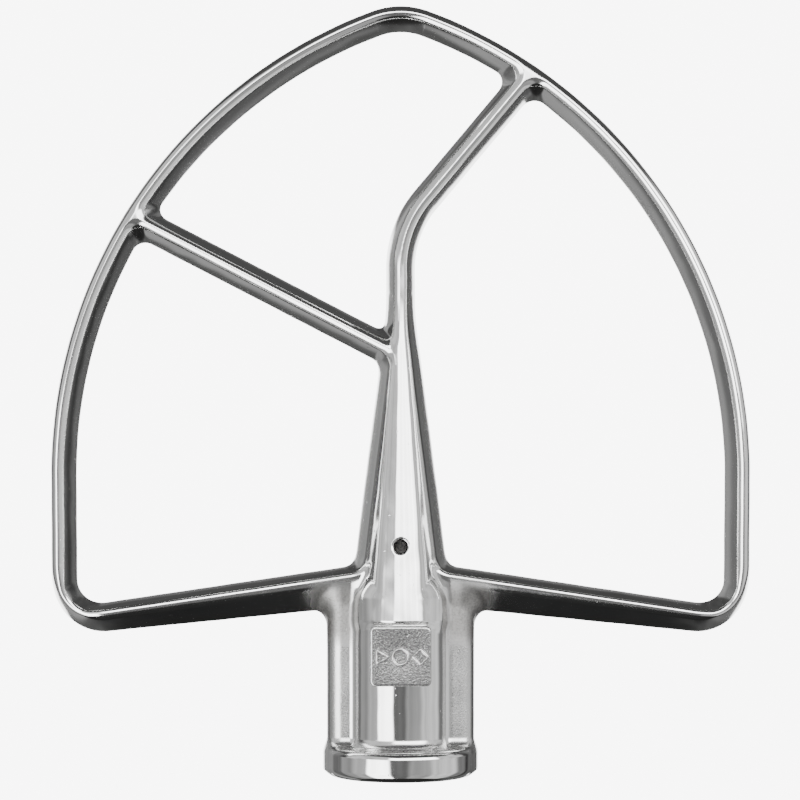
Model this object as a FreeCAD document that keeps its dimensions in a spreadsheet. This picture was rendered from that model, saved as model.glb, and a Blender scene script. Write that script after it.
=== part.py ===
import FreeCAD, Part
import math
import os

import Sketcher

# Flat mixing beater, one casting drawn as its natural members.  The members meet face to face on flat
# planes, so that each is a solid of its own.
# Frame: origin at the centre of the shaft bore's mouth, +Z up the bore axis to the tip of the bow,
# the front of the beater faces -Y and the parting plane of the casting is y = 0.
# All sizes are millimetres.

SIZES = {
    # bow: outer outline at the parting plane
    "half_span": 66.3, "widest_z": 57.4, "side_radius": 93.4, "tip_radius": 16.2,
    "tip_join_x": 5.69, "tip_join_z": 144.87, "foot_x": 66.1, "foot_z": 26.26, "foot_radius": 10.5,
    "ear_x": 14.0, "under_hub_z": 31.47, "under_hub_radius": 2.6, "stub_z": 26.5,
    # depth of the bars on each side of the parting plane, and how far their sides lean in over it
    "half_depth": 5.5, "lean": 1.75,
    # windows: corner points at the parting plane and the cast fillets in them
    "inner_x": 61.5, "inner_radius": 88.6, "inner_tip_radius": 11.4, "inner_tip_x": 4.0,
    "inner_tip_z": 140.38, "inner_foot_x": 61.2, "inner_foot_z": 32.06, "inner_foot_radius": 5.0,
    "root_x": 8.7, "root_z": 39.87, "root_radius": 2.2,
    "neck_x": 3.1, "neck_z": 84.5, "bar_half": 2.68, "bend_z": 96.35,
    "bend_out_x": 2.61, "bend_out_z": 110.94, "bend_in_x": 6.75, "bend_in_z": 107.47,
    "bend_out_radius": 22.7, "bend_in_radius": 17.3,
    "brace_low_x": 49.51, "brace_low_z": 101.90, "brace_high_x": 46.57, "brace_high_z": 106.63,
    "brace_foot_x": 3.88, "brace_foot_z": 78.31, "brace_head_x": 2.8, "brace_head_z": 84.0,
    "prop_left_x": 20.43, "prop_left_z": 132.17, "prop_right_x": 24.92, "prop_right_z": 129.12,
    "brace_low_radius": 2.6, "brace_high_radius": 1.8, "brace_foot_radius": 2.2,
    "brace_head_radius": 2.1, "prop_left_radius": 2.0, "prop_right_radius": 3.5,
    # shoulders: the ridge on the front runs close under the upper edge, over a long sloped underside
    "reach": 100.0, "ceiling": 170.0,
    "floor_mid_z": 41.1, "floor_mid_end_z": 26.23, "floor_front_z": 40.4, "floor_front_end_z": 25.53,
    "keel_mid_z": 32.77, "keel_mid_end_z": 22.77, "keel_front_z": 39.3, "keel_front_end_z": 24.43,
    # spine: a tapered stalk with a round front and leaning sides
    "nose_z": 29.5, "nose_half": 9.9, "nose_shoulder": 7.5, "nose_shoulder_depth": 5.6,
    "nose_radius": 8.25, "stalk_top_z": 86.0, "stalk_half": 2.9, "stalk_shoulder": 1.5,
    "stalk_shoulder_depth": 4.8, "stalk_radius": 1.9,
    # hub: round socket, two side ears over the cross-pin channels, collar at the mouth
    "socket_radius": 9.6, "hub_foot_z": 2.0, "socket_top_z": 35.0, "ear_half": 3.9, "ear_round": 3.0,
    "ear_top_z": 36.6, "collar_radius": 14.25, "collar_height": 5.6, "collar_low_round": 1.8,
    "collar_top_round": 0.9, "valley_round": 1.3,
    "bore_radius": 6.5, "bore_depth": 45.0, "pin_width": 5.2, "pin_reach": 11.4, "pin_depth": 24.0,
    "vent_radius": 1.3, "vent_z": 43.8, "overrun": 1.0,
    # raised marking pad on the front of the socket and its three cast marks
    "pad_half": 5.75, "pad_low_z": 17.7, "pad_high_z": 29.0, "pad_face": 10.4, "pad_back": 7.0,
    "pad_round": 1.0, "mark_z": 23.3, "mark_rise": 0.35, "mark_size": 1.75, "mark_line": 0.6,
    "mark_step": 3.7,
    # planes where the members meet
    "cut_ear_x": 9.0, "cut_hub_z": 27.5, "cut_root_x": 10.4, "cut_crown_z": 50.0, "cut_fork_z": 76.0,
    "cut_fork_x": 9.0, "cut_bend_z": 91.0, "cut_prop_z": 112.0, "cut_tip_x": 9.0,
    "cut_tip_z": 130.0, "cut_prop_top_z": 120.0, "cut_ear_out_x": 20.0, "cut_right_x": 34.0,
    "cut_left_x": 38.0, "cut_rim_z": 92.0, "cut_foot_z": 42.0, "cut_foot_x": 50.0,
}


def make_sheet(doc):
    """Driving dimensions, one named cell each."""
    sheet = doc.addObject("Spreadsheet::Sheet", "dims")
    for row, (alias, size) in enumerate(SIZES.items(), start=1):
        sheet.set("A%d" % row, alias)
        sheet.set("B%d" % row, str(size))
        sheet.setAlias("B%d" % row, alias)
    doc.recompute()
    return sheet


os.makedirs("parts", exist_ok=True)
doc = FreeCAD.newDocument("flat_beater")
sheet = make_sheet(doc)
V = FreeCAD.Vector
FRONTAL = FreeCAD.Rotation(V(1, 0, 0), 90)
LEVEL = FreeCAD.Rotation()


def number(name):
    """Value of a sheet cell; a leading minus sign turns it round."""
    if name == "0":
        return 0.0
    return -float(sheet.get(name[1:])) if name.startswith("-") else float(sheet.get(name))


def bound(name):
    """The same cell, written as an expression."""
    return "-dims." + name[1:] if name.startswith("-") else "dims." + name


def bind(thing, **properties):
    """Ties properties of an object to the sheet; a double underscore stands for a dot."""
    for key, expression in properties.items():
        thing.setExpression(key.replace("__", "."), expression)
    return thing


def lock(sketch, constraint, name):
    """Adds a constraint and ties its value to a sheet cell."""
    index = sketch.addConstraint(constraint)
    if name != "0":
        sketch.setExpression("Constraints[%d]" % index, bound(name))


def corner(x, y, arc=None, side=1, fillet=None):
    """A corner of an outline.  The edge that leaves it is a line, or an arc of radius arc whose centre
    lies to the left (side 1) or to the right (side -1) of the way it is walked; fillet rounds it."""
    return {"x": x, "y": y, "arc": arc, "side": side, "fillet": fillet}


def edge_between(start, end, spot):
    """Line or arc from start to end, and the numbers of its first and last vertex."""
    if spot["arc"] is None:
        return Part.LineSegment(start, end), (1, 2)
    chord = end - start
    radius = number(spot["arc"])
    rise = math.sqrt(radius ** 2 - (chord.Length / 2) ** 2)
    inward = V(-chord.y, chord.x, 0).normalize() * spot["side"]
    middle = (start + end) * 0.5 + inward * (rise - radius)
    ends = (1, 2) if spot["side"] > 0 else (2, 1)
    return Part.Arc(start, middle, end), ends


def outline(name, corners, turn=FRONTAL, base_y="0", base_z="0", owner=doc):
    """Closed sketch through the corners, every corner and radius tied to the sheet."""
    if owner is doc:
        sketch = doc.addObject("Sketcher::SketchObject", name)
    else:
        sketch = owner.newObject("Sketcher::SketchObject", name)
    sketch.Placement = FreeCAD.Placement(V(0, 0, 0), turn)
    if base_y != "0":
        bind(sketch, Placement__Base__y=bound(base_y))
    if base_z != "0":
        bind(sketch, Placement__Base__z=bound(base_z))
    points = [V(number(spot["x"]), number(spot["y"]), 0) for spot in corners]
    count = len(points)
    ends = []
    for index, spot in enumerate(corners):
        edge, order = edge_between(points[index], points[(index + 1) % count], spot)
        sketch.addGeometry(edge, False)
        ends.append(order)
    for index in range(count):
        after = (index + 1) % count
        sketch.addConstraint(Sketcher.Constraint("Coincident", index, ends[index][1], after,
                                                 ends[after][0]))
    for index, spot in enumerate(corners):
        first = ends[index][0]
        lock(sketch, Sketcher.Constraint("DistanceX", index, first, points[index].x), spot["x"])
        lock(sketch, Sketcher.Constraint("DistanceY", index, first, points[index].y), spot["y"])
        if spot["arc"] is not None:
            lock(sketch, Sketcher.Constraint("Radius", index, number(spot["arc"])), spot["arc"])
    doc.recompute()
    for index, spot in enumerate(corners):
        if spot["fillet"] is not None:
            round_corner(sketch, points[index], (index - 1) % count, index, spot["fillet"])
    doc.recompute()
    return sketch


def beside(curve, here):
    """A point of the curve a short way from its end at here."""
    first, last = curve.FirstParameter, curve.LastParameter
    spots = [curve.value(first + share * (last - first)) for share in (0.05, 0.95)]
    return min(spots, key=lambda spot: (spot - here).Length)


def round_corner(sketch, here, before, after, radius):
    """Replaces the sharp corner at here with an arc whose radius is tied to the sheet."""
    picks = [beside(sketch.Geometry[index], here) for index in (before, after)]
    known = sketch.GeometryCount
    sketch.fillet(before, after, picks[0], picks[1], number(radius), True, True)
    for added in range(known, sketch.GeometryCount):
        if sketch.Geometry[added].TypeId == "Part::GeomArcOfCircle":
            lock(sketch, Sketcher.Constraint("Radius", added, number(radius)), radius)


def add(kind, name, **links):
    """Document object with its links set."""
    thing = doc.addObject(kind, name)
    for key, link in links.items():
        setattr(thing, key, link)
    return thing


def loft(name, sections):
    return add("Part::Loft", name, Sections=sections, Solid=True, Ruled=True)


def leaning_slab(name, corners, lean):
    """Front half of a slab with leaning sides: its outline at the parting plane, and the same outline
    offset by lean at the front face."""
    middle = outline(name + "_middle", corners)
    front = add("Part::Offset2D", name + "_front", Source=middle, Join=2, Fill=False)
    bind(front, Value=bound(lean), Placement__Base__y="-dims.half_depth")
    return loft(name, [middle, front])


def valley(name, mid_z, mid_end_z, front_z, front_end_z):
    """Everything above a V-shaped floor whose front edge lies at another height than its middle."""
    sections = []
    for part, depth, low, end in (("middle", "0", mid_z, mid_end_z),
                                  ("front", "-half_depth", front_z, front_end_z)):
        corners = [corner("0", low), corner("reach", end), corner("reach", "ceiling"),
                   corner("-reach", "ceiling"), corner("-reach", end)]
        sections.append(outline(name + "_" + part, corners, base_y=depth))
    return loft(name, sections)


def both_sides(name, source):
    """Source and its mirror image across the parting plane."""
    copy = add("Part::Mirroring", name + "_back", Source=source, Normal=V(0, 1, 0))
    return add("Part::MultiFuse", name, Shapes=[source, copy])


def box(name, x, y, z):
    """Box between pairs of expressions."""
    block = doc.addObject("Part::Box", name)
    for axis, size, (low, high) in zip("xyz", ("Length", "Width", "Height"), (x, y, z)):
        block.setExpression("Placement.Base." + axis, low)
        block.setExpression(size, "(%s) - (%s)" % (high, low))
    return block


def cylinder(name, radius, height, base_z):
    post = doc.addObject("Part::Cylinder", name)
    return bind(post, Radius=radius, Height=height, Placement__Base__z=base_z)


OUTER = [
    corner("tip_join_x", "tip_join_z", "tip_radius"),
    corner("-tip_join_x", "tip_join_z", "side_radius"),
    corner("-half_span", "widest_z"),
    corner("-foot_x", "foot_z", fillet="foot_radius"),
    corner("-ear_x", "under_hub_z", fillet="under_hub_radius"),
    corner("-ear_x", "stub_z"),
    corner("ear_x", "stub_z"),
    corner("ear_x", "under_hub_z", fillet="under_hub_radius"),
    corner("foot_x", "foot_z", fillet="foot_radius"),
    corner("half_span", "widest_z", "side_radius"),
]
LEFT_WINDOW = [
    corner("-brace_low_x", "brace_low_z", "inner_radius", fillet="brace_low_radius"),
    corner("-inner_x", "widest_z"),
    corner("-inner_foot_x", "inner_foot_z", fillet="inner_foot_radius"),
    corner("-root_x", "root_z", fillet="root_radius"),
    corner("-brace_foot_x", "brace_foot_z", fillet="brace_foot_radius"),
]
RIGHT_WINDOW = [
    corner("inner_x", "widest_z", "inner_radius"),
    corner("prop_right_x", "prop_right_z", fillet="prop_right_radius"),
    corner("bend_in_x", "bend_in_z", "bend_in_radius"),
    corner("bar_half", "bend_z"),
    corner("neck_x", "neck_z"),
    corner("root_x", "root_z", fillet="root_radius"),
    corner("inner_foot_x", "inner_foot_z", fillet="inner_foot_radius"),
]
TOP_WINDOW = [
    corner("inner_tip_x", "inner_tip_z", "inner_tip_radius"),
    corner("-inner_tip_x", "inner_tip_z", "inner_radius"),
    corner("-brace_high_x", "brace_high_z", fillet="brace_high_radius"),
    corner("-brace_head_x", "brace_head_z", fillet="brace_head_radius"),
    corner("-bar_half", "bend_z", "bend_out_radius", side=-1),
    corner("bend_out_x", "bend_out_z"),
    corner("prop_left_x", "prop_left_z", "inner_radius", fillet="prop_left_radius"),
]
PAD_OUTLINE = [
    corner("-pad_half", "pad_low_z", fillet="pad_round"),
    corner("pad_half", "pad_low_z", fillet="pad_round"),
    corner("pad_half", "pad_high_z", fillet="pad_round"),
    corner("-pad_half", "pad_high_z", fillet="pad_round"),
]
EAR_OUTLINE = [
    corner("-ear_x", "-ear_half", fillet="ear_round"),
    corner("ear_x", "-ear_half", fillet="ear_round"),
    corner("ear_x", "ear_half", fillet="ear_round"),
    corner("-ear_x", "ear_half", fillet="ear_round"),
]
COLLAR_PROFILE = [
    corner("0", "0"),
    corner("collar_radius", "0", fillet="collar_low_round"),
    corner("collar_radius", "collar_height", fillet="collar_top_round"),
    corner("0", "collar_height"),
]

# Where each member lies: its reach along X and along Z, between the planes where members meet.
FAR = "dims.reach"
MEMBERS = {
    "hub_collar": ("-" + FAR, FAR, "-" + FAR, "dims.collar_height"),
    "socket_barrel": ("-dims.cut_ear_x", "dims.cut_ear_x", "dims.collar_height", "dims.cut_hub_z"),
    "pin_ear_left": ("-dims.cut_ear_out_x", "-dims.cut_ear_x", "dims.collar_height", "dims.cut_hub_z"),
    "pin_ear_right": ("dims.cut_ear_x", "dims.cut_ear_out_x", "dims.collar_height", "dims.cut_hub_z"),
    "socket_crown": ("-dims.cut_root_x", "dims.cut_root_x", "dims.cut_hub_z", "dims.cut_crown_z"),
    "spine": ("-dims.cut_root_x", "dims.cut_root_x", "dims.cut_crown_z", "dims.cut_fork_z"),
    "spine_fork": ("-dims.cut_fork_x", "dims.cut_fork_x", "dims.cut_fork_z", "dims.cut_bend_z"),
    "prop_bend": ("-dims.cut_fork_x", "dims.cut_right_x", "dims.cut_bend_z", "dims.cut_prop_z"),
    "prop": ("-dims.cut_fork_x", "dims.cut_right_x", "dims.cut_prop_z", "dims.cut_prop_top_z"),
    "prop_root": ("dims.cut_tip_x", "dims.cut_right_x", "dims.cut_prop_top_z", "dims.ceiling"),
    "bow_tip": ("-dims.cut_tip_x", "dims.cut_tip_x", "dims.cut_tip_z", "dims.ceiling"),
    "bow_left_high": ("-dims.cut_left_x", "-dims.cut_tip_x", "dims.cut_prop_z", "dims.ceiling"),
    "brace_root": ("-" + FAR, "-dims.cut_left_x", "dims.cut_rim_z", "dims.ceiling"),
    "brace": ("-dims.cut_left_x", "-dims.cut_fork_x", "dims.cut_fork_z", "dims.cut_prop_z"),
    "bow_left_low": ("-" + FAR, "-dims.cut_left_x", "dims.cut_foot_z", "dims.cut_rim_z"),
    "bow_right_high": ("dims.cut_right_x", FAR, "dims.cut_rim_z", "dims.ceiling"),
    "bow_right_low": ("dims.cut_right_x", FAR, "dims.cut_foot_z", "dims.cut_rim_z"),
    "foot_left": ("-" + FAR, "-dims.cut_foot_x", "0", "dims.cut_foot_z"),
    "foot_right": ("dims.cut_foot_x", FAR, "0", "dims.cut_foot_z"),
    "shoulder_left": ("-dims.cut_foot_x", "-dims.cut_root_x", "dims.cut_hub_z", "dims.cut_foot_z"),
    "shoulder_right": ("dims.cut_root_x", "dims.cut_foot_x", "dims.cut_hub_z", "dims.cut_foot_z"),
}


def make_bow():
    """Front half of the flat frame: drafted bars round three windows, then the shoulders' slopes."""
    floor = valley("floor", "floor_mid_z", "floor_mid_end_z", "floor_front_z", "floor_front_end_z")
    keel = valley("keel", "keel_mid_z", "keel_mid_end_z", "keel_front_z", "keel_front_end_z")
    blank = leaning_slab("bow_blank", OUTER, "-lean")
    bow = add("Part::Common", "bow_outside", Base=blank, Tool=keel)
    for name, corners in (("left", LEFT_WINDOW), ("right", RIGHT_WINDOW)):
        full = leaning_slab(name + "_opening", corners, "lean")
        window = add("Part::Common", name + "_window", Base=full, Tool=floor)
        bow = add("Part::Cut", "bow_without_" + name, Base=bow, Tool=window)
    top = leaning_slab("top_window", TOP_WINDOW, "lean")
    return add("Part::Cut", "bow_front", Base=bow, Tool=top)


def half_section(name, base_z, half, shoulder, depth, radius):
    """Front half of the spine's level section: leaning sides and a round nose."""
    corners = [corner("-" + half, "0"), corner("-" + shoulder, "-" + depth, radius),
               corner(shoulder, "-" + depth), corner(half, "0")]
    return outline(name, corners, turn=LEVEL, base_z=base_z)


def make_spine():
    low = half_section("nose_section", "nose_z", "nose_half", "nose_shoulder",
                       "nose_shoulder_depth", "nose_radius")
    high = half_section("stalk_section", "stalk_top_z", "stalk_half", "stalk_shoulder",
                        "stalk_shoulder_depth", "stalk_radius")
    return loft("spine_front", [low, high])


def padded(name, corners, length, turn, base_y="0", base_z="0"):
    """PartDesign body: one sketch, padded."""
    body = doc.addObject("PartDesign::Body", name)
    sketch = outline(name + "_outline", corners, turn, base_y, base_z, owner=body)
    pad = body.newObject("PartDesign::Pad", name + "_pad")
    pad.Profile = sketch
    bind(pad, Length=length)
    return body


def revolved(name, corners):
    """PartDesign body: a profile turned about the bore axis."""
    body = doc.addObject("PartDesign::Body", name)
    sketch = outline(name + "_profile", corners, FRONTAL, owner=body)
    turn = body.newObject("PartDesign::Revolution", name + "_turn")
    turn.Profile = sketch
    turn.ReferenceAxis = (sketch, ["V_Axis"])
    turn.Angle = 360
    return body


def valley_edges(shape):
    """The four upright edges where the ears run into the round socket."""
    found = []
    for index, edge in enumerate(shape.Edges, start=1):
        low, high = edge.Vertexes[0].Point, edge.Vertexes[-1].Point
        upright = math.hypot(low.x - high.x, low.y - high.y) < 0.01 and abs(low.z - high.z) > 5
        on_socket = abs(math.hypot(low.x, low.y) - number("socket_radius")) < 0.05
        if upright and on_socket and abs(abs(low.y) - number("ear_half")) < 0.05:
            found.append(index)
    return found


def make_hub():
    """Socket and ears, with the valleys between them rounded, on the collar."""
    socket = cylinder("socket_post", "dims.socket_radius", "dims.socket_top_z - dims.hub_foot_z",
                      "dims.hub_foot_z")
    ears = padded("ear_block", EAR_OUTLINE, "dims.ear_top_z - dims.hub_foot_z", LEVEL,
                  base_z="hub_foot_z")
    core = add("Part::MultiFuse", "hub_core", Shapes=[socket, ears])
    doc.recompute()
    rounded = add("Part::Fillet", "hub_rounded", Base=core)
    radius = number("valley_round")
    rounded.Edges = [(index, radius, radius) for index in valley_edges(core.Shape)]
    collar = revolved("collar_ring", COLLAR_PROFILE)
    return [rounded, collar]


def make_hollows():
    """Shaft bore, cross-pin channel and the vent that drains the bore's closed end to the front."""
    bore = cylinder("bore", "dims.bore_radius", "dims.bore_depth + dims.overrun", "-dims.overrun")
    channel = box("pin_channel", ("-dims.pin_reach", "dims.pin_reach"),
                  ("-dims.pin_width / 2", "dims.pin_width / 2"), ("-dims.overrun", "dims.pin_depth"))
    vent = cylinder("vent", "dims.vent_radius", "dims.reach", "dims.vent_z")
    vent.Placement = FreeCAD.Placement(V(0, 0, number("vent_z")), FRONTAL)
    bind(vent, Placement__Base__z="dims.vent_z")
    return add("Part::MultiFuse", "hollows", Shapes=[bore, channel, vent])


def make_members():
    """The whole casting, cut into its members."""
    bow = both_sides("bow", make_bow())
    spine = both_sides("spine_whole", make_spine())
    whole = add("Part::MultiFuse", "whole", Shapes=[bow, spine] + make_hub())
    casting = add("Part::Cut", "casting", Base=whole, Tool=make_hollows())
    doc.recompute()
    members = {}
    for name, (x_low, x_high, z_low, z_high) in MEMBERS.items():
        region = box(name + "_region", (x_low, x_high), ("-" + FAR, FAR), (z_low, z_high))
        members[name] = add("Part::Common", name + "_member", Base=casting, Tool=region)
    return members


def make_mark(name, sides, place):
    """Raised outline on the pad: a ring, or a polygon with the given number of sides."""
    shapes = []
    for part, size in (("outside", "dims.mark_size"), ("inside", "dims.mark_size - dims.mark_line")):
        if sides:
            shape = add("Part::Prism", name + "_" + part, Polygon=sides)
            bind(shape, Circumradius=size)
        else:
            shape = add("Part::Cylinder", name + "_" + part)
            bind(shape, Radius=size)
        shape.Placement = FreeCAD.Placement(V(0, 0, 0), FRONTAL)
        bind(shape, Height="dims.mark_rise", Placement__Base__x=place,
             Placement__Base__y="-dims.pad_face", Placement__Base__z="dims.mark_z")
        shapes.append(shape)
    return add("Part::Cut", name + "_solid", Base=shapes[0], Tool=shapes[1])


def make_pad():
    """Marking pad, hollowed at the back to sit on the round socket, and the three marks on it."""
    block = padded("pad_block", PAD_OUTLINE, "dims.pad_face - dims.pad_back", FRONTAL,
                   base_y="-pad_back")
    seat = cylinder("pad_seat", "dims.socket_radius", "dims.reach", "0")
    return {
        "marking_pad": add("Part::Cut", "pad_solid", Base=block, Tool=seat),
        "mark_triangle": make_mark("triangle", 3, "-dims.mark_step"),
        "mark_ring": make_mark("ring", 0, "0"),
        "mark_square": make_mark("square", 4, "dims.mark_step"),
    }


def check(thing):
    """Stops the run when an object is in error or its shape is not sound."""
    if any(word in thing.State for word in ("Invalid", "Error")):
        raise ValueError("%s is in error: %s" % (thing.Name, thing.State))
    if hasattr(thing, "Shape") and (thing.Shape.isNull() or not thing.Shape.isValid()):
        raise ValueError("%s has no sound shape" % thing.Name)


nodes = {**make_members(), **make_pad()}
doc.recompute()
for thing in doc.Objects:
    check(thing)
for name, thing in nodes.items():
    thing.Label = name
    if len(thing.Shape.Solids) != 1:
        raise ValueError("%s is %d solids" % (name, len(thing.Shape.Solids)))
    thing.Shape.Solids[0].exportStep("parts/%s.step" % name)
    print("%s %.1f mm3" % (name, thing.Shape.Volume))
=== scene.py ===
import math

import bmesh
import bpy
import numpy as np
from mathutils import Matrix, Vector


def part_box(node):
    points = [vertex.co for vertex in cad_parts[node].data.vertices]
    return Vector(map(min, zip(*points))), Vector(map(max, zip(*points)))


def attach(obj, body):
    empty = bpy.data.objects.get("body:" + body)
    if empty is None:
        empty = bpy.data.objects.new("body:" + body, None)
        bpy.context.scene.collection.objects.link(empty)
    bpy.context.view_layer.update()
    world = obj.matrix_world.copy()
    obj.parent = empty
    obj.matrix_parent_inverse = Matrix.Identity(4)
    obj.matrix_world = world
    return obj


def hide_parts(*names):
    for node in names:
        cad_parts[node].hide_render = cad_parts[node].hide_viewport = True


# Flat mixer beater: one polished casting.  The cast surface is described once, as a smooth field in
# millimetres, meshed on one lattice, and cut into pieces on the planes where the CAD members meet, but
# for the collar, which is cut just above its rounded top.

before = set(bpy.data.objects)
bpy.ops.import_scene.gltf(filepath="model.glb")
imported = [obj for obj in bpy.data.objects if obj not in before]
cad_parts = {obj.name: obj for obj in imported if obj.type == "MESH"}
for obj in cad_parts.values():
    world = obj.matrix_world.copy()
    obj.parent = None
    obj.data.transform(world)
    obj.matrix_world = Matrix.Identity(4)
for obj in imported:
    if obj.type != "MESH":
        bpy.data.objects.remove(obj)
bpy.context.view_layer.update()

MM = 0.001
PITCH = 0.25     # spacing of the lattice that the surface is meshed on
MARGIN = 1.3                            # how far a member's lattice reaches past its CAD box

NORMAL_STEP = 0.12                      # step for the surface's normals, which evens them out a little

# Everything down to the marks is in millimetres.
# Bars: depth on each side of the parting plane, and how far a side leans in per millimetre of depth
HALF_DEPTH = 5.5
LEAN = 1.8 / HALF_DEPTH
OUTER_LEAN = 0.75 / HALF_DEPTH          # the bow's outer side
INNER_LEAN = 2.5 / HALF_DEPTH           # the bow's inner side and the underside of the brace
FLOOR_LEAN = 0.24                       # the upper side of the shoulders
CROWN, OUTER_CROWN = 1.0, 1.3           # rounding of every bar's ridge, and on the bow's outer side
SWELL = 0.20                            # how far a bar's side bellies out at half its depth
PARTING = 0.10                          # softness of the parting edge

# Bow: centre of the tip arc and of the side arcs, the direction from the second to the first, and the
# legs' slope.  An outline is its side radius, its tip radius and how far out its legs stand.
TIP_Z, SIDE_BACK, SIDE_Z = 129.7, 27.1, 57.4
TOWARD_TIP = (0.351, 0.9364)
LEG_SLOPE = 0.0064
OUTLINE = (93.4, 16.2, 66.3)
OPENING = (88.6, 11.4, 61.5)
FOOT_ROUND, INNER_FOOT_ROUND = 10.5, 5.0

# Shoulders: heights on the axis, how fast they fall towards the feet, and how far the underside rises
# from the parting plane to the ridge, on the axis and less with every millimetre from it
FLOOR_Z, FLOOR_FALL, FLOOR_COSINE = 41.164, 0.1487, 0.9891
KEEL_Z, KEEL_FALL = 32.87, 0.1
KEEL_RISE, KEEL_RISE_LOSS = 5.9, 0.0487

# Prop: half width, where it starts inside the spine, its bend, and a point and the slope of its slant
PROP_HALF, PROP_START_Z = 2.72, 72.0
BEND_Z, BEND_RADIUS, BEND_TURN = 96.35, 20.0, math.radians(40.0)
SLANT_AT, SLANT_ALONG = (4.68, 109.2), (0.6428, 0.766)
PROP_ROUND = 2.6

# Brace: half width, a point on its centre line, the direction square to it, and where it ends
BRACE_HALF, BRACE_END = 2.776, 0.5
BRACE_AT, BRACE_SQUARE = (-20.4, 89.975), (0.4593, 0.8883)
BRACE_ROUND = 2.2

# Spine: heights of its lower and upper sections.  A section is its half width, the half width and the
# depth of its shoulder, and its front radius, which change by the same amount for each part of the way.
NOSE_Z, STALK_Z = 29.5, 86.0
NOSE_SECTION, SECTION_CHANGE = (9.9, 7.5, 5.6, 8.25), (7.0, 6.0, 0.8, 6.35)
SPINE_ROUND, NOSE_ROUND = 1.1, 0.35
MERGE_Z = 97.0                          # above this the spine has sunk into the prop
BACKING = 0.5                           # how far the flat stalk under the spine stays inside it

# Hub: round socket, ears (half sizes of their flat core, and the rounding round it) and collar
SOCKET_RADIUS, HUB_FOOT_Z, HUB_TOP_Z, HUB_TOP_ROUND = 9.6, 2.0, 37.2, 3.5
EAR_CORE, EAR_ROUND, VALLEY_ROUND = (11.0, 0.9), 3.0, 0.9
COLLAR_RADIUS, COLLAR_TOP_Z = 14.25, 5.6
COLLAR_LOW_ROUND, COLLAR_TOP_ROUND, COVE_ROUND = 1.8, 1.3, 2.0

# Hollows: shaft bore, cross-pin channel (half width each way, and depth) and vent
BORE_RADIUS, BORE_DEPTH = 6.5, 45.0
CHANNEL_HALF, CHANNEL_DEPTH = (11.4, 2.6), 24.0
VENT_RADIUS, VENT_Z = 1.3, 43.8
MOUTH_ROUND, VENT_ROUND = 0.3, 0.45

# Marking pad and the raised marks on it
PAD_HALF, PAD_HALF_TALL, PAD_Z, PAD_FACE, PAD_SEAT = 5.75, 5.65, 23.35, 10.4, 9.45
PAD_ROUND, PAD_EDGE_ROUND, PAD_DISH = 1.0, 0.4, 0.10
MARK_REACH, MARK_WIRE, MARK_SWELL = 1.45, 0.34, 1.15
MARK_FACE, MARK_Z, MARK_STEP, MARK_CORNER = 10.42, 23.3, 3.7, 0.93
MARK_TURNS, WIRE_TURNS = 72, 12


def round_max(a, b, radius):
    """Intersection with its outer edge rounded."""
    u = np.maximum(a + radius, 0.0)
    v = np.maximum(b + radius, 0.0)
    return np.minimum(np.maximum(a, b), -radius) + np.sqrt(u * u + v * v)


def round_min(a, b, radius):
    """Union with a cast fillet in its inner corner."""
    u = np.maximum(radius - a, 0.0)
    v = np.maximum(radius - b, 0.0)
    return np.maximum(np.minimum(a, b), radius) - np.sqrt(u * u + v * v)


def leaning(flat, depth, lean=LEAN):
    """Turns an in-plane distance into a side that leans in with depth and bellies out a little."""
    share = np.clip(depth / HALF_DEPTH, 0.0, 1.0)
    belly = 4.0 * SWELL * share * (1.0 - share)
    return (flat + lean * depth - belly) / np.sqrt(1.0 + lean * lean)


def arch(across, z, outline):
    """In-plane distance to an outline of the bow: two legs, two long arcs and the tip."""
    side_radius, tip_radius, leg_x = outline
    tip = np.hypot(across, z - TIP_Z) - tip_radius
    side = np.hypot(across + SIDE_BACK, z - SIDE_Z) - side_radius
    leg = across - leg_x + LEG_SLOPE * (SIDE_Z - z)
    at_tip = (z > TIP_Z) & (across * TOWARD_TIP[1] < (z - TIP_Z) * TOWARD_TIP[0])
    return np.where(at_tip, tip, np.where(z > SIDE_Z, side, leg))


def prop_distance(x, z):
    """In-plane distance to the prop's centre line: upright, bent over an arc, then slanting."""
    upright = np.abs(x)
    arc = np.abs(np.hypot(x - BEND_RADIUS, z - BEND_Z) - BEND_RADIUS)
    slant = np.abs((x - SLANT_AT[0]) * SLANT_ALONG[1] - (z - SLANT_AT[1]) * SLANT_ALONG[0])
    swept = np.arctan2(z - BEND_Z, BEND_RADIUS - x)
    return np.where(z < BEND_Z, upright, np.where(swept < BEND_TURN, arc, slant))


def brace_height(x, z):
    """In-plane distance above the brace's centre line."""
    return (x - BRACE_AT[0]) * BRACE_SQUARE[0] + (z - BRACE_AT[1]) * BRACE_SQUARE[1]


def bow_outside(across, depth, z):
    """Outer side of the bow, and the long sloped underside of its shoulders."""
    outside = leaning(arch(across, z, OUTLINE), depth, OUTER_LEAN)
    slope = (KEEL_RISE - KEEL_RISE_LOSS * across) / HALF_DEPTH
    keel = KEEL_Z - KEEL_FALL * across + slope * depth - z
    keel = keel / np.sqrt(1.0 + KEEL_FALL ** 2 + slope * slope)
    return round_max(outside, keel, FOOT_ROUND)


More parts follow.
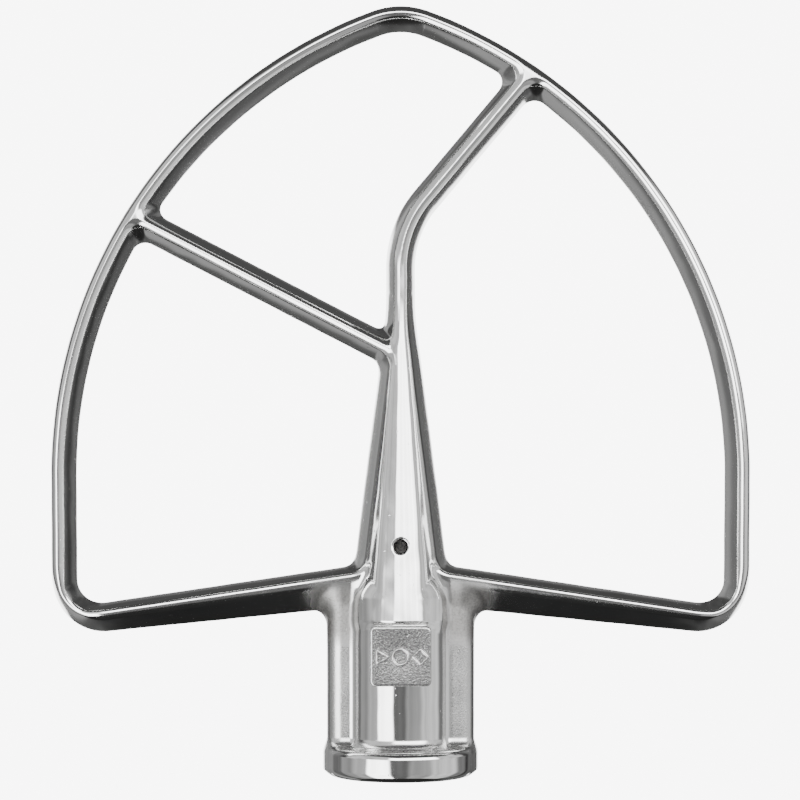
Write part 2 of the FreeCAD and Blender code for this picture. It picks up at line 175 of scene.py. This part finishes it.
def bow_field(x, depth, z):
    """The flat part of the casting: rim, shoulders, brace and prop."""
    across = np.abs(x)
    rim = leaning(-arch(across, z, OPENING), depth, INNER_LEAN)
    floor = leaning((z - FLOOR_Z + FLOOR_FALL * across) * FLOOR_COSINE, depth, FLOOR_LEAN)
    bars = round_min(rim, floor, INNER_FOOT_ROUND)
    prop = np.maximum(leaning(prop_distance(x, z) - PROP_HALF, depth), PROP_START_Z - z)
    half = spine_section(z)[0]
    stalk = np.maximum(leaning(across - half + BACKING, depth), z - MERGE_Z)
    bars = round_min(bars, np.minimum(prop, stalk), PROP_ROUND)
    above = brace_height(x, z)
    brace = np.maximum(leaning(above - BRACE_HALF, depth),
                       leaning(-above - BRACE_HALF, depth, INNER_LEAN))
    bars = round_min(bars, np.maximum(brace, x + BRACE_END), BRACE_ROUND)
    bars = round_max(bars, depth - HALF_DEPTH, CROWN)
    return round_max(bars, bow_outside(across, depth, z), OUTER_CROWN)


def spine_section(z):
    """Spine's half width, half width and depth of its shoulder, and front radius at a height."""
    t = np.clip((z - NOSE_Z) / (STALK_Z - NOSE_Z), 0.0, 1.2)
    return [size - change * t for size, change in zip(NOSE_SECTION, SECTION_CHANGE)]


def spine_field(x, depth, z):
    """The tapered stalk: leaning sides and a round front."""
    half, shoulder, shoulder_depth, radius = spine_section(z)
    centre = shoulder_depth - np.sqrt(np.maximum(radius ** 2 - shoulder ** 2, 0.01))
    side = leaning(np.abs(x) - half, depth, (half - shoulder) / shoulder_depth)
    across, out = np.abs(x), depth - centre
    toward_x, toward_y = shoulder / radius, (shoulder_depth - centre) / radius
    front = np.where(out * toward_x > across * toward_y, np.hypot(across, out),
                     across * toward_x + out * toward_y) - radius
    stalk = round_max(side, front, SPINE_ROUND)
    stalk = round_max(stalk, NOSE_Z - z, NOSE_ROUND)
    return np.maximum(stalk, z - MERGE_Z)


def hub_field(x, y, z):
    """Round socket with an ear on each side for the cross pin."""
    socket = np.hypot(x, y) - SOCKET_RADIUS
    over_x = np.abs(x) - EAR_CORE[0]
    over_y = np.abs(y) - EAR_CORE[1]
    beyond = np.hypot(np.maximum(over_x, 0), np.maximum(over_y, 0))
    ears = beyond + np.minimum(np.maximum(over_x, over_y), 0) - EAR_ROUND
    body = round_min(socket, ears, VALLEY_ROUND)
    return np.maximum(round_max(body, z - HUB_TOP_Z, HUB_TOP_ROUND), HUB_FOOT_Z - z)


def collar_field(x, y, z):
    """The rounded ring at the hub's mouth."""
    ring = round_max(np.hypot(x, y) - COLLAR_RADIUS, -z, COLLAR_LOW_ROUND)
    return round_max(ring, z - COLLAR_TOP_Z, COLLAR_TOP_ROUND)


def hollow_field(x, y, z):
    """Shaft bore and cross-pin channel."""
    bore = np.maximum(np.hypot(x, y) - BORE_RADIUS, z - BORE_DEPTH)
    sides = np.maximum(np.abs(x) - CHANNEL_HALF[0], np.abs(y) - CHANNEL_HALF[1])
    return np.minimum(bore, np.maximum(sides, z - CHANNEL_DEPTH))


def ripple(x, y, z):
    """The slight unevenness of a hand-polished casting."""
    bend = 1.3 * np.sin(y * 0.51 + x * 0.19)
    wave = np.sin(x * 0.61 + 1.7 * np.sin(z * 0.23)) * np.sin(z * 0.47 + bend)
    fine = np.sin(x * 1.37 + z * 0.93 + 2.0) * np.sin(z * 1.21 - y * 1.1 + 0.7)
    return 0.018 * wave + 0.0015 * fine


def spine_fillet(z):
    """Radius of the fillet beside the spine, which shrinks in two steps towards the prop."""
    low = 0.7 * np.clip((z - 50.0) / 24.0, 0.0, 1.0)
    high = 0.5 * np.clip((z - 80.0) / 6.0, 0.0, 1.0)
    return 1.6 - low - high


def hub_fillet(depth):
    """Radius of the fillet round the hub: wide beside the bars, narrow where the hub stands proud."""
    return 2.5 - 2.1 * np.clip((depth - 6.0) / 2.5, 0.0, 1.0)


def casting(x, y, z):
    """Signed field of the whole casting in millimetres, negative inside."""
    depth = np.sqrt(y * y + PARTING ** 2) - PARTING
    body = round_min(bow_field(x, depth, z), spine_field(x, depth, z), spine_fillet(z))
    body = round_min(body, hub_field(x, y, z), hub_fillet(depth))
    body = round_min(body, collar_field(x, y, z), COVE_ROUND)
    body = round_max(body, -hollow_field(x, y, z), MOUTH_ROUND)
    vent = np.maximum(np.hypot(x, z - VENT_Z) - VENT_RADIUS, y)
    body = round_max(body, -vent, VENT_ROUND)
    return body + ripple(x, y, z)


def pad_field(x, y, z):
    """Marking pad: a raised tablet with a cast face that dishes a little."""
    wide = np.abs(x) - PAD_HALF
    tall = np.abs(z - PAD_Z) - PAD_HALF_TALL
    plan = round_max(wide, tall, PAD_ROUND)
    dish = PAD_DISH * np.exp(-(x * x + (z - 24.0) ** 2) / 14.0)
    tablet = round_max(plan, -PAD_FACE - y + dish, PAD_EDGE_ROUND)
    return np.maximum(tablet, PAD_SEAT - np.hypot(x, y))


def gradient(field, points, step=0.02):
    """Gradient of a field at an array of points."""
    slopes = []
    for axis in range(3):
        shift = np.zeros(3)
        shift[axis] = step
        ahead = field(*(points + shift).T)
        behind = field(*(points - shift).T)
        slopes.append((ahead - behind) / (2 * step))
    return np.stack(slopes, axis=1)


def settle(field, points, rounds=3):
    """Moves points onto the field's zero surface."""
    for _ in range(rounds):
        slope = gradient(field, points)
        steepness = np.maximum((slope * slope).sum(1), 0.05)
        move = (field(*points.T) / steepness)[:, None] * slope
        length = np.linalg.norm(move, axis=1, keepdims=True)
        points = points - move * np.minimum(1.0, 0.6 * PITCH / np.maximum(length, 1e-9))
    return points


def crossings(values):
    """Lattice edges that the surface crosses, for each axis: first points, crossings, solid ends."""
    edges = []
    for axis in range(3):
        here, there = [slice(None)] * 3, [slice(None)] * 3
        here[axis], there[axis] = slice(0, -1), slice(1, None)
        a, b = values[tuple(here)], values[tuple(there)]
        crossed = (a < 0) != (b < 0)
        index = np.argwhere(crossed)
        spot = index.astype(float)
        spot[:, axis] += a[crossed] / (a[crossed] - b[crossed])
        edges.append((axis, index, spot, a[crossed] < 0))
    return edges


def beside(index, axis, du, dv, shape):
    """The cells du and dv before each edge, across its axis, and which of them lie in the lattice."""
    across = [n for n in range(3) if n != axis]
    cell = index.copy()
    cell[:, across[0]] -= du
    cell[:, across[1]] -= dv
    return cell, np.all((cell >= 0) & (cell < np.array(shape)), axis=1)


def cell_points(edges, shape):
    """The mean crossing in every cell that the surface passes through, and which cells those are."""
    total = np.zeros(shape + (3,))
    count = np.zeros(shape)
    for axis, index, spot, solid_first in edges:
        for du, dv in ((0, 0), (0, 1), (1, 0), (1, 1)):
            cell, good = beside(index, axis, du, dv, shape)
            flat = np.ravel_multi_index(cell[good].T, shape)
            for n in range(3):
                total[..., n].reshape(-1)[:] += np.bincount(flat, spot[good, n], count.size)
            count.reshape(-1)[:] += np.bincount(flat, minlength=count.size)
    used = count > 0
    return total[used] / count[used][:, None], used


def ring_faces(edges, number, shape):
    """A four-sided face round every crossed edge, turned by which of its ends is solid."""
    faces = []
    for axis, index, spot, solid_first in edges:
        ring = [beside(index, axis, du, dv, shape) for du, dv in ((1, 1), (0, 1), (0, 0), (1, 0))]
        good = np.all([inside for cell, inside in ring], axis=0)
        face = np.stack([number[tuple(cell[good].T)] for cell, inside in ring], axis=1)
        turn = solid_first[good] if axis != 1 else ~solid_first[good]
        face[~turn] = face[~turn][:, ::-1]
        faces.append(face)
    return np.concatenate(faces)


def surface(field, low, high):
    """Points and four-sided faces of the zero surface between two lattice corners."""
    first = np.floor(np.array(low) / PITCH).astype(int) - 2
    last = np.ceil(np.array(high) / PITCH).astype(int) + 2
    axes = [(np.arange(a, b + 1) + 0.5) * PITCH for a, b in zip(first, last)]
    values = field(*np.meshgrid(*axes, indexing="ij"))
    shape = tuple(n - 1 for n in values.shape)
    edges = crossings(values)
    middles, used = cell_points(edges, shape)
    number = np.full(shape, -1)
    number[used] = np.arange(len(middles))
    origin = (first + 0.5) * PITCH
    return settle(field, middles * PITCH + origin), ring_faces(edges, number, shape)


def set_normals(mesh, field, flat_faces):
    """Smooth normals from the field; faces cut by a plane stay flat."""
    spots = np.empty(len(mesh.vertices) * 3)
    mesh.vertices.foreach_get("co", spots)
    normals = gradient(field, spots.reshape(-1, 3) / MM, NORMAL_STEP)
    normals /= np.maximum(np.linalg.norm(normals, axis=1, keepdims=True), 1e-9)
    owners = np.empty(len(mesh.loops), int)
    mesh.loops.foreach_get("vertex_index", owners)
    loops = normals[owners]
    for index in flat_faces:
        face = mesh.polygons[index]
        loops[face.loop_start:face.loop_start + face.loop_total] = face.normal
    mesh.normals_split_custom_set(loops)


def close_up(work):
    """Clears the slivers that cutting leaves, so that every edge has two faces."""
    for _ in range(4):
        bmesh.ops.remove_doubles(work, verts=work.verts[:], dist=4e-6)
        bmesh.ops.dissolve_degenerate(work, edges=work.edges[:], dist=1e-7)
        crowded = [edge for edge in work.edges if len(edge.link_faces) > 2]
        extra = set()
        for edge in crowded:
            extra.update(sorted(edge.link_faces, key=lambda face: face.calc_area())[:-2])
        bmesh.ops.delete(work, geom=list(extra), context="FACES")
        loose = [edge for edge in work.edges if edge.is_wire]
        bmesh.ops.delete(work, geom=loose, context="EDGES")
        gaps = [edge for edge in work.edges if edge.is_boundary]
        if not gaps and not crowded:
            return
        bmesh.ops.holes_fill(work, edges=gaps, sides=0)


def slice_off(work, caps, axis, place, side):
    """Cuts away what lies beyond a plane and closes the cut with flat faces."""
    normal, origin = Vector((0, 0, 0)), Vector((0, 0, 0))
    normal[axis] = side
    origin[axis] = place * MM
    everything = work.verts[:] + work.edges[:] + work.faces[:]
    cut = bmesh.ops.bisect_plane(work, geom=everything, dist=1e-8, plane_co=origin,
                                 plane_no=normal, clear_outer=True)
    on_plane = [v for v in cut["geom_cut"] if isinstance(v, bmesh.types.BMVert)]
    bmesh.ops.remove_doubles(work, verts=on_plane, dist=3e-6)
    rim = [e for e in work.edges if e.is_boundary]
    if not rim:
        return
    lid = bmesh.ops.triangle_fill(work, use_beauty=True, use_dissolve=False, edges=rim, normal=normal)
    for face in lid["geom"]:
        if isinstance(face, bmesh.types.BMFace):
            face[caps] = 1


def cut_piece(name, field, points, quads, planes):
    """Mesh object from a surface, closed with a flat face on each plane it crosses."""
    mesh = bpy.data.meshes.new(name)
    mesh.from_pydata((points * MM).tolist(), [], quads.tolist())
    work = bmesh.new()
    work.from_mesh(mesh)
    caps = work.faces.layers.int.new("cap")
    for axis, place, side in planes:
        slice_off(work, caps, axis, place, side)
    close_up(work)
    bmesh.ops.recalc_face_normals(work, faces=work.faces[:])
    if work.calc_volume(signed=True) < 0:
        bmesh.ops.reverse_faces(work, faces=work.faces[:])
    flat = []
    work.faces.index_update()
    for face in work.faces:
        face.smooth = not face[caps]
        if face[caps]:
            flat.append(face.index)
    work.to_mesh(mesh)
    work.free()
    set_normals(mesh, field, flat)
    piece = bpy.data.objects.new(name, mesh)
    bpy.context.collection.objects.link(piece)
    return piece


# Where each member lies: low and high X, then low and high Z; None where the casting itself ends.
MEMBERS = {
    "hub_collar": (None, None, None, 6.2),
    "socket_barrel": (-9.0, 9.0, 6.2, 27.5),
    "pin_ear_left": (None, -9.0, 6.2, 27.5),
    "pin_ear_right": (9.0, None, 6.2, 27.5),
    "socket_crown": (-10.4, 10.4, 27.5, 50.0),
    "spine": (-10.4, 10.4, 50.0, 76.0),
    "spine_fork": (-9.0, 9.0, 76.0, 91.0),
    "prop_bend": (-9.0, 34.0, 91.0, 112.0),
    "prop": (-9.0, 34.0, 112.0, 120.0),
    "prop_root": (9.0, 34.0, 120.0, None),
    "bow_tip": (-9.0, 9.0, 130.0, None),
    "bow_left_high": (-38.0, -9.0, 112.0, None),
    "brace_root": (None, -38.0, 92.0, None),
    "brace": (-38.0, -9.0, 76.0, 112.0),
    "bow_left_low": (None, -38.0, 42.0, 92.0),
    "bow_right_high": (34.0, None, 92.0, None),
    "bow_right_low": (34.0, None, 42.0, 92.0),
    "foot_left": (None, -50.0, None, 42.0),
    "foot_right": (50.0, None, None, 42.0),
    "shoulder_left": (-50.0, -10.4, 27.5, 42.0),
    "shoulder_right": (10.4, 50.0, 27.5, 42.0),
}


def member_piece(name, limits):
    """Visual piece of one member: the shared surface round its CAD node, cut where its limits say."""
    low, high = [np.array(corner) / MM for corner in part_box(name)]
    low, high = low - MARGIN, high + MARGIN
    planes = []
    for place, axis, side in zip(limits, (0, 0, 2, 2), (-1, 1, -1, 1)):
        if place is not None:
            planes.append((axis, place, side))
    middle, reach = (low + high) / 2, (high - low) / 2

    def boxed(x, y, z):
        walls = [np.abs(v - m) - r for v, m, r in zip((x, y, z), middle, reach)]
        return np.maximum(casting(x, y, z), np.maximum(np.maximum(walls[0], walls[1]), walls[2]))

    points, quads = surface(boxed, low, high)
    return cut_piece("cast_" + name, casting, points, quads, planes)


def node(tree, kind, links=(), **settings):
    """Shader node: its settings by name, its inputs by number or name."""
    made = tree.nodes.new(kind)
    for key, setting in settings.items():
        setattr(made, key, setting)
    for key, source in links:
        if isinstance(source, bpy.types.NodeSocket):
            tree.links.new(source, made.inputs[key])
        else:
            made.inputs[key].default_value = source
    return made


def maths(tree, operation, *values):
    return node(tree, "ShaderNodeMath", list(enumerate(values)), operation=operation).outputs[0]


def step(tree, value, low, high):
    """Smooth rise from 0 to 1 between low and high."""
    links = [("Value", value), ("From Min", low), ("From Max", high)]
    return node(tree, "ShaderNodeMapRange", links, interpolation_type="SMOOTHSTEP").outputs[0]


def window(tree, value, low, high, soft):
    """1 between low and high, falling smoothly to 0 over soft on each side."""
    rise = step(tree, value, low - soft, low + soft)
    fall = step(tree, value, high + soft, high - soft)
    return maths(tree, "MULTIPLY", rise, fall)


def noise(tree, place, scale, detail=2.0, rough=0.5, stretch=None):
    if stretch:
        links = [("Vector", place), ("Scale", stretch)]
        place = node(tree, "ShaderNodeMapping", links).outputs[0]
    links = [("Vector", place), ("Scale", scale), ("Detail", detail), ("Roughness", rough)]
    return node(tree, "ShaderNodeTexNoise", links).outputs["Fac"]


def blend(tree, share, a, b):
    links = [("Factor", share), ("A", a), ("B", b)]
    mix = node(tree, "ShaderNodeMix", data_type="FLOAT")
    for key, source in links:
        if isinstance(source, bpy.types.NodeSocket):
            tree.links.new(source, mix.inputs[key])
        else:
            mix.inputs[key].default_value = source
    return mix.outputs["Result"]


def colour_ramp(tree, share, dark, light):
    ramp = node(tree, "ShaderNodeValToRGB", [("Fac", share)])
    ramp.color_ramp.elements[0].color = dark + (1.0,)
    ramp.color_ramp.elements[1].color = light + (1.0,)
    ramp.color_ramp.elements[0].position = 0.3
    ramp.color_ramp.elements[1].position = 0.7
    return ramp.outputs[0]


def new_material(name):
    material = bpy.data.materials.new(name)
    material.use_nodes = True
    tree = material.node_tree
    tree.nodes.clear()
    out = node(tree, "ShaderNodeOutputMaterial")
    shader = node(tree, "ShaderNodeBsdfPrincipled")
    tree.links.new(shader.outputs[0], out.inputs["Surface"])
    return material, tree, shader


def blend_colour(tree, share, a, b):
    mix = node(tree, "ShaderNodeMix", data_type="RGBA", blend_type="MIX")
    tree.links.new(share, mix.inputs["Factor"])
    tree.links.new(a, mix.inputs[6])
    tree.links.new(b, mix.inputs[7])
    return mix.outputs[2]


def finish_metal(tree, shader, place, tint, polish, relief):
    """Connects a metal's colour, roughness and relief, with fine pits over it."""
    pits = step(tree, noise(tree, place, 900.0, 2.0, 0.5), 0.70, 0.78)
    relief = maths(tree, "SUBTRACT", relief, maths(tree, "MULTIPLY", pits, 0.25))
    tree.links.new(tint, shader.inputs["Base Color"])
    tree.links.new(polish, shader.inputs["Roughness"])
    shader.inputs["Metallic"].default_value = 1.0
    links = [("Height", relief), ("Strength", 0.35), ("Distance", 0.12 * MM)]
    bump = node(tree, "ShaderNodeBump", links)
    tree.links.new(bump.outputs[0], shader.inputs["Normal"])


def mould_skin():
    """The grainy skin that the mould leaves, on the marking pad and its marks."""
    material, tree, shader = new_material("cast_skin_metal")
    place = node(tree, "ShaderNodeTexCoord").outputs["Object"]
    grain = noise(tree, place, 2300.0, 2.0, 0.7)
    fine = noise(tree, place, 5200.0, 2.0, 0.6)
    tint = colour_ramp(tree, grain, (0.34, 0.34, 0.335), (0.66, 0.66, 0.655))
    polish = blend(tree, fine, 0.12, 0.28)
    coarse_part = maths(tree, "MULTIPLY", grain, 0.7)
    fine_part = maths(tree, "MULTIPLY", fine, 0.3)
    relief = maths(tree, "ADD", coarse_part, fine_part)
    finish_metal(tree, shader, place, tint, polish, relief)
    return material


def ear_share(tree, across, height):
    """How satin the metal is: high on the pin ears and 0 elsewhere."""
    wide = window(tree, across, 9.6 * MM, 13.4 * MM, 0.6 * MM)
    tall = window(tree, height, 6.5 * MM, 33.0 * MM, 2.0 * MM)
    return maths(tree, "MULTIPLY", maths(tree, "MULTIPLY", wide, tall), 0.85)


def shoulder_shade_share(tree, across, height):
    """1 under each shoulder, beside the socket, where polishing doesn't reach: it paints the shade that
    the shoulders' overhang casts there, together with the duller skin.
    """
    tall = window(tree, height, 25.0 * MM, 37.0 * MM, 3.0 * MM)
    shoulder_shade = maths(tree, "MULTIPLY", step(tree, across, 8.2 * MM, 9.8 * MM), tall)
    return maths(tree, "MULTIPLY", shoulder_shade, step(tree, across, 19.0 * MM, 15.0 * MM))


def bore_shade_share(tree, axes):
    """1 on the wall and the closed end of the shaft bore, where shade is painted in."""
    radial = node(tree, "ShaderNodeCombineXYZ", [(0, axes[0]), (1, axes[1])]).outputs[0]
    from_axis = node(tree, "ShaderNodeVectorMath", [(0, radial)], operation="LENGTH").outputs["Value"]
    inside = step(tree, from_axis, 6.75 * MM, 6.35 * MM)
    return maths(tree, "MULTIPLY", inside, step(tree, axes[2], 46.0 * MM, 45.2 * MM))


def burnished_metal():
    """Burnished cast aluminium: duller on the flat bars, satin on the ears, with painted shade in the
    hollows, which are the shaft bore and the hub under the shoulders.
    """
    material, tree, shader = new_material("burnished_casting")
    place = node(tree, "ShaderNodeTexCoord").outputs["Object"]
    axes = node(tree, "ShaderNodeSeparateXYZ", [(0, place)]).outputs
    broad = noise(tree, place, 70.0, 3.0, 0.55)
    smears = noise(tree, place, 260.0, 4.0, 0.6, stretch=(1.0, 1.0, 0.35))
    grain = noise(tree, place, 2300.0, 2.0, 0.7)
    across = maths(tree, "ABSOLUTE", axes[0])
    on_bars = step(tree, maths(tree, "ABSOLUTE", axes[1]), 6.0 * MM, 5.3 * MM)
    ears = ear_share(tree, across, axes[2])
    cove = window(tree, axes[2], 5.2 * MM, 7.4 * MM, 0.7 * MM)
    # Painted shade: the bore and the hub under the shoulders get a dark, dull tint. The ears take part
    # of the same tint for their duller cast skin.
    shade_and_dull_skin = bore_shade_share(tree, axes)
    shoulder_shade = shoulder_shade_share(tree, across, axes[2])
    shade_and_dull_skin = maths(tree, "MAXIMUM", shade_and_dull_skin, maths(tree, "MULTIPLY", shoulder_shade, 0.92))
    shade_and_dull_skin = maths(tree, "MAXIMUM", shade_and_dull_skin, maths(tree, "MULTIPLY", ears, 0.42))
    polish = blend(tree, on_bars, blend(tree, smears, 0.04, 0.10), blend(tree, smears, 0.09, 0.16))
    polish = blend(tree, ears, polish, blend(tree, grain, 0.10, 0.24))
    polish = blend(tree, cove, polish, 0.22)
    polish = blend(tree, shade_and_dull_skin, polish, 0.45)
    relief = maths(tree, "MULTIPLY", smears, 0.08)
    relief = blend(tree, ears, relief, maths(tree, "MULTIPLY", grain, 0.5))
    clean = colour_ramp(tree, broad, (0.76, 0.76, 0.755), (0.86, 0.86, 0.855))
    # Dark tint for the painted shade, also used for the ears' dull skin
    shade_and_skin_tint = colour_ramp(tree, grain, (0.16, 0.155, 0.15), (0.30, 0.295, 0.285))
    finish_metal(tree, shader, place, blend_colour(tree, shade_and_dull_skin, clean, shade_and_skin_tint), polish, relief)
    return material


# What the metal mirrors: low and high bearing, low and high height, how softly each fades out, all in
# degrees, and its strength.  Bearings are measured from the camera's side, + to the right.
PANELS = [
    # below the camera's line: key softbox on the left, dark gap under the camera, soft wall on the right
    (-53, -17, -60, 4.3, 3.0, 3.4, 6.5),
    (-80, -53, -60, 4.3, 4.0, 3.4, 0.52),
    (-104, -80, -60, 4.3, 4.0, 3.4, 0.34),
    (-17, 14, -60, 4.3, 3.0, 3.4, 0.14),
    (14, 50, -60, 4.3, 5.0, 3.4, 0.42),
    (50, 96, -60, 4.3, 5.0, 3.4, 0.90),
    # above it: wide softbox a little to the right, pale walls beside it
    (-17, 60, 4.3, 36, 3.0, 3.4, 6.5),
    (-92, -17, 4.3, 50, 4.0, 3.4, 0.75),
    (60, 110, 4.3, 36, 5.0, 3.4, 0.80),
    # walls behind, beside the backdrop
    (-126, -106, -54, 35, 4.0, 4.0, 0.14),
    (-147, -126, -54, 35, 4.0, 4.0, 0.32),
    (96, 118, -54, 4.3, 5.0, 4.0, 0.20),
    (126, 149, -54, 35, 4.0, 4.0, 0.09),
]
# The same, with bearings measured from straight behind: the ground and the wall round the backdrop.
REAR_PANELS = [
    (-40, 39, -56, -24, 6.0, 3.0, 0.085),
    (-40, 39, 11, 26, 6.0, 3.0, 0.13),
]
ROOM_LOW, ROOM_HIGH = 0.025, 0.08      # dark room under and over the stand
BACKDROP, PAPER = 5.0, 8.0             # backdrop as the metal mirrors it; sweep as the camera sees it
BACKDROP_SPAN, BACKDROP_HEIGHT = (-32.0, 31.0), (-24.0, 11.0)


def make_world():
    """White to the camera; to the metal, a dark room with soft panels and a white backdrop."""
    world = bpy.data.worlds.new("studio")
    bpy.context.scene.world = world
    world.use_nodes = True
    tree = world.node_tree
    tree.nodes.clear()
    ray = node(tree, "ShaderNodeTexCoord").outputs["Generated"]
    axes = node(tree, "ShaderNodeSeparateXYZ", [(0, ray)]).outputs
    facing = maths(tree, "MULTIPLY", axes[1], -1.0)
    bearing = maths(tree, "DEGREES", maths(tree, "ARCTAN2", axes[0], facing))
    behind = maths(tree, "DEGREES", maths(tree, "ARCTAN2", axes[0], axes[1]))
    height = maths(tree, "DEGREES", maths(tree, "ARCSINE", axes[2]))
    rise = step(tree, height, -20.0, 25.0)
    light = maths(tree, "MULTIPLY_ADD", rise, ROOM_HIGH - ROOM_LOW, ROOM_LOW)
    for angle, panels in ((bearing, PANELS), (behind, REAR_PANELS)):
        for left, right, low, high, soft, fade, strength in panels:
            panel = window(tree, angle, left, right, soft)
            panel = maths(tree, "MULTIPLY", panel, window(tree, height, low, high, fade))
            light = maths(tree, "MULTIPLY_ADD", panel, strength, light)
    mottle = noise(tree, ray, 5.0, 3.0, 0.6, stretch=(1.0, 1.0, 0.3))
    light = maths(tree, "MULTIPLY", light, maths(tree, "MULTIPLY_ADD", mottle, 1.2, 0.4))
    drop = maths(tree, "MULTIPLY", window(tree, behind, *BACKDROP_SPAN, 2.5),
                 window(tree, height, *BACKDROP_HEIGHT, 3.0))
    light = maths(tree, "MULTIPLY_ADD", drop, BACKDROP, light)
    room = node(tree, "ShaderNodeBackground", [("Color", (1, 1, 1, 1)), ("Strength", light)])
    white = node(tree, "ShaderNodeBackground", [("Color", (1, 1, 1, 1)), ("Strength", PAPER)])
    seen = node(tree, "ShaderNodeLightPath").outputs["Is Camera Ray"]
    mix = node(tree, "ShaderNodeMixShader", [(0, seen), (1, room.outputs[0]), (2, white.outputs[0])])
    node(tree, "ShaderNodeOutputWorld", [("Surface", mix.outputs[0])])


def make_floor():
    """Plain pale floor under the collar; the metal mirrors the studio round it, not the floor."""
    mesh = bpy.data.meshes.new("floor")
    reach = 0.6
    corners = [(-reach, -reach, 0), (reach, -reach, 0), (reach, reach, 0), (-reach, reach, 0)]
    mesh.from_pydata(corners, [], [(0, 1, 2, 3)])
    floor = bpy.data.objects.new("floor", mesh)
    bpy.context.collection.objects.link(floor)
    floor.visible_glossy = False
    floor.visible_diffuse = False
    floor.visible_shadow = False
    material = bpy.data.materials.new("floor_white")
    material.use_nodes = True
    tree = material.node_tree
    tree.nodes.clear()
    place = node(tree, "ShaderNodeTexCoord").outputs["Object"]
    tone = colour_ramp(tree, noise(tree, place, 3.0), (0.99, 0.99, 0.99), (1.0, 1.0, 1.0))
    bright = node(tree, "ShaderNodeEmission", [("Color", tone), ("Strength", PAPER)])
    node(tree, "ShaderNodeOutputMaterial", [("Surface", bright.outputs[0])])
    mesh.materials.append(material)


def make_camera():
    """Level camera on the front, close to half the beater's height."""
    data = bpy.data.cameras.new("camera")
    camera = bpy.data.objects.new("camera", data)
    bpy.context.collection.objects.link(camera)
    distance, view_width = 0.600, 0.152
    camera.location = (-0.00011, -distance, 0.07125)
    camera.rotation_euler = (math.radians(90), 0, 0)
    data.sensor_width = 36.0
    data.lens = data.sensor_width * distance / view_width
    data.clip_start = 0.01
    bpy.context.scene.camera = camera


def pad_piece():
    low, high = (-6.6, -11.4, 16.8), (6.6, -6.6, 29.9)
    points, quads = surface(pad_field, low, high)
    return cut_piece("cast_marking_pad", pad_field, points, quads, [])


def mark_path(sides):
    """Middle line of a mark round its own centre: a ring, or a polygon with blunt corners."""
    path = []
    for index in range(MARK_TURNS):
        angle = 2 * math.pi * index / MARK_TURNS
        reach = MARK_REACH
        if sides:
            sector = 2 * math.pi / sides
            turned = (angle + sector / 2) % sector - sector / 2
            apothem = MARK_REACH * math.cos(sector / 2)
            reach = min(apothem / math.cos(abs(turned) - sector / 2), MARK_REACH * MARK_CORNER)
        path.append((reach * math.cos(angle), reach * math.sin(angle)))
    return path


def mark_piece(name, sides, across):
    """Raised outline on the pad: a rounded wire bent into a ring or a polygon."""
    spots, faces = [], []
    for x, z in mark_path(sides):
        outward = math.atan2(z, x)
        for turn in range(WIRE_TURNS):
            around = 2 * math.pi * turn / WIRE_TURNS
            reach = MARK_WIRE * math.cos(around)
            spots.append(((across + x + reach * math.cos(outward)) * MM,
                          (-MARK_FACE - MARK_WIRE * MARK_SWELL * math.sin(around)) * MM,
                          (MARK_Z + z + reach * math.sin(outward)) * MM))
    for index in range(MARK_TURNS):
        for turn in range(WIRE_TURNS):
            here, after = index * WIRE_TURNS, (index + 1) % MARK_TURNS * WIRE_TURNS
            over = (turn + 1) % WIRE_TURNS
            faces.append((here + turn, after + turn, after + over, here + over))
    mesh = bpy.data.meshes.new(name)
    mesh.from_pydata(spots, [], faces)
    for face in mesh.polygons:
        face.use_smooth = True
    work = bmesh.new()
    work.from_mesh(mesh)
    bmesh.ops.recalc_face_normals(work, faces=work.faces[:])
    work.to_mesh(mesh)
    work.free()
    piece = bpy.data.objects.new(name, mesh)
    bpy.context.collection.objects.link(piece)
    return piece


def build():
    """Every piece, with its finish, the CAD node it stands for and the body it rides on."""
    polished, skin = burnished_metal(), mould_skin()
    pieces = {name: member_piece(name, limits) for name, limits in MEMBERS.items()}
    grainy = {"marking_pad": pad_piece()}
    for mark, sides, across in (("triangle", 3, -MARK_STEP), ("ring", 0, 0.0), ("square", 4, MARK_STEP)):
        grainy["mark_" + mark] = mark_piece("cast_mark_" + mark, sides, across)
    for material, group in ((polished, pieces), (skin, grainy)):
        for name, piece in group.items():
            piece.data.materials.append(material)
            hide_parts(name)
            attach(piece, "root")


build()
make_world()
make_floor()
make_camera()
